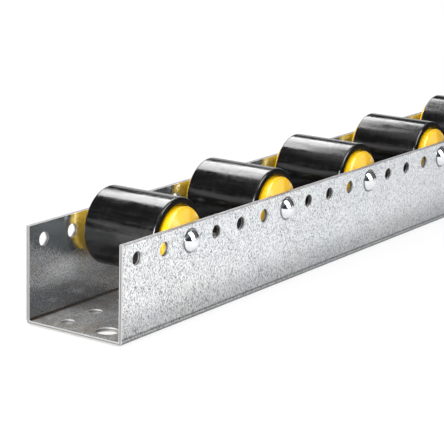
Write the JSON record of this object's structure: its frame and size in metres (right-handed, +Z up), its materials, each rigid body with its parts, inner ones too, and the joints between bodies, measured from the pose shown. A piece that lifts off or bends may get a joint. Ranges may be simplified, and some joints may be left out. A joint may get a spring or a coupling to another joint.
{
  "type": "flow rack roller track",
  "caption": "Perforated galvanised steel U channel carrying a row of free-turning black plastic rollers with yellow end caps on riveted axles.",
  "frame": {"origin": "middle of the web's underside, at the middle of the track's length and width", "axes": "+X along the track, +Y across it towards the back flange, +Z up from the web to the rollers"},
  "size_m": [0.546, 0.0796, 0.073],
  "materials": {
    "galvanised_sheet": "hot-dip galvanised sheet with fine spangle, satin",
    "roller_plastic": "black moulded plastic, polished by use",
    "cap_plastic": "signal yellow moulded plastic, semi-gloss",
    "plated_axle": "bright zinc-plated rivet steel, smooth",
    "bearing_steel": "turned bearing steel, satin",
    "ball_steel": "polished bearing balls"
  },
  "bodies": {
    "track": {"channel": "galvanised_sheet", "axle_1": "plated_axle", "axle_2": "plated_axle", "axle_3": "plated_axle", "axle_4": "plated_axle", "axle_5": "plated_axle", "roller_1_front_inner_race": "bearing_steel", "roller_1_back_inner_race": "bearing_steel", "roller_2_front_inner_race": "bearing_steel", "roller_2_back_inner_race": "bearing_steel", "roller_3_front_inner_race": "bearing_steel", "roller_3_back_inner_race": "bearing_steel", "roller_4_front_inner_race": "bearing_steel", "roller_4_back_inner_race": "bearing_steel", "roller_5_front_inner_race": "bearing_steel", "roller_5_back_inner_race": "bearing_steel"},
    "roller_1": {"roller_1_tube": "roller_plastic", "roller_1_front_cap": "cap_plastic", "roller_1_front_outer_race": "bearing_steel", "roller_1_back_cap": "cap_plastic", "roller_1_back_outer_race": "bearing_steel"},
    "balls_1": {"roller_1_front_balls": "ball_steel", "roller_1_back_balls": "ball_steel"},
    "roller_2": {"roller_2_tube": "roller_plastic", "roller_2_front_cap": "cap_plastic", "roller_2_front_outer_race": "bearing_steel", "roller_2_back_cap": "cap_plastic", "roller_2_back_outer_race": "bearing_steel"},
    "balls_2": {"roller_2_front_balls": "ball_steel", "roller_2_back_balls": "ball_steel"},
    "roller_3": {"roller_3_tube": "roller_plastic", "roller_3_front_cap": "cap_plastic", "roller_3_front_outer_race": "bearing_steel", "roller_3_back_cap": "cap_plastic", "roller_3_back_outer_race": "bearing_steel"},
    "balls_3": {"roller_3_front_balls": "ball_steel", "roller_3_back_balls": "ball_steel"},
    "roller_4": {"roller_4_tube": "roller_plastic", "roller_4_front_cap": "cap_plastic", "roller_4_front_outer_race": "bearing_steel", "roller_4_back_cap": "cap_plastic", "roller_4_back_outer_race": "bearing_steel"},
    "balls_4": {"roller_4_front_balls": "ball_steel", "roller_4_back_balls": "ball_steel"},
    "roller_5": {"roller_5_tube": "roller_plastic", "roller_5_front_cap": "cap_plastic", "roller_5_front_outer_race": "bearing_steel", "roller_5_back_cap": "cap_plastic", "roller_5_back_outer_race": "bearing_steel"},
    "balls_5": {"roller_5_front_balls": "ball_steel", "roller_5_back_balls": "ball_steel"}
  },
  "joints": [
    {"name": "roller_1_spin", "type": "hinge", "parent": "track", "child": "roller_1", "pos_m": [-0.208, 0, 0.049], "axis": [0, 1, 0], "continuous": true},
    {"name": "roller_2_spin", "type": "hinge", "parent": "track", "child": "roller_2", "pos_m": [-0.104, 0, 0.049], "axis": [0, 1, 0], "continuous": true},
    {"name": "roller_3_spin", "type": "hinge", "parent": "track", "child": "roller_3", "pos_m": [0, 0, 0.049], "axis": [0, 1, 0], "continuous": true},
    {"name": "roller_4_spin", "type": "hinge", "parent": "track", "child": "roller_4", "pos_m": [0.104, 0, 0.049], "axis": [0, 1, 0], "continuous": true},
    {"name": "roller_5_spin", "type": "hinge", "parent": "track", "child": "roller_5", "pos_m": [0.208, 0, 0.049], "axis": [0, 1, 0], "continuous": true},
    {"name": "balls_1_orbit", "type": "hinge", "parent": "track", "child": "balls_1", "pos_m": [-0.208, 0, 0.049], "axis": [0, 1, 0], "continuous": true},
    {"name": "balls_2_orbit", "type": "hinge", "parent": "track", "child": "balls_2", "pos_m": [-0.104, 0, 0.049], "axis": [0, 1, 0], "continuous": true},
    {"name": "balls_3_orbit", "type": "hinge", "parent": "track", "child": "balls_3", "pos_m": [0, 0, 0.049], "axis": [0, 1, 0], "continuous": true},
    {"name": "balls_4_orbit", "type": "hinge", "parent": "track", "child": "balls_4", "pos_m": [0.104, 0, 0.049], "axis": [0, 1, 0], "continuous": true},
    {"name": "balls_5_orbit", "type": "hinge", "parent": "track", "child": "balls_5", "pos_m": [0.208, 0, 0.049], "axis": [0, 1, 0], "continuous": true}
  ],
  "couplings": [
    {"joint": "balls_1_orbit", "follows": "roller_1_spin", "ratio": 0.633},
    {"joint": "balls_2_orbit", "follows": "roller_2_spin", "ratio": 0.633},
    {"joint": "balls_3_orbit", "follows": "roller_3_spin", "ratio": 0.633},
    {"joint": "balls_4_orbit", "follows": "roller_4_spin", "ratio": 0.633},
    {"joint": "balls_5_orbit", "follows": "roller_5_spin", "ratio": 0.633}
  ]
}
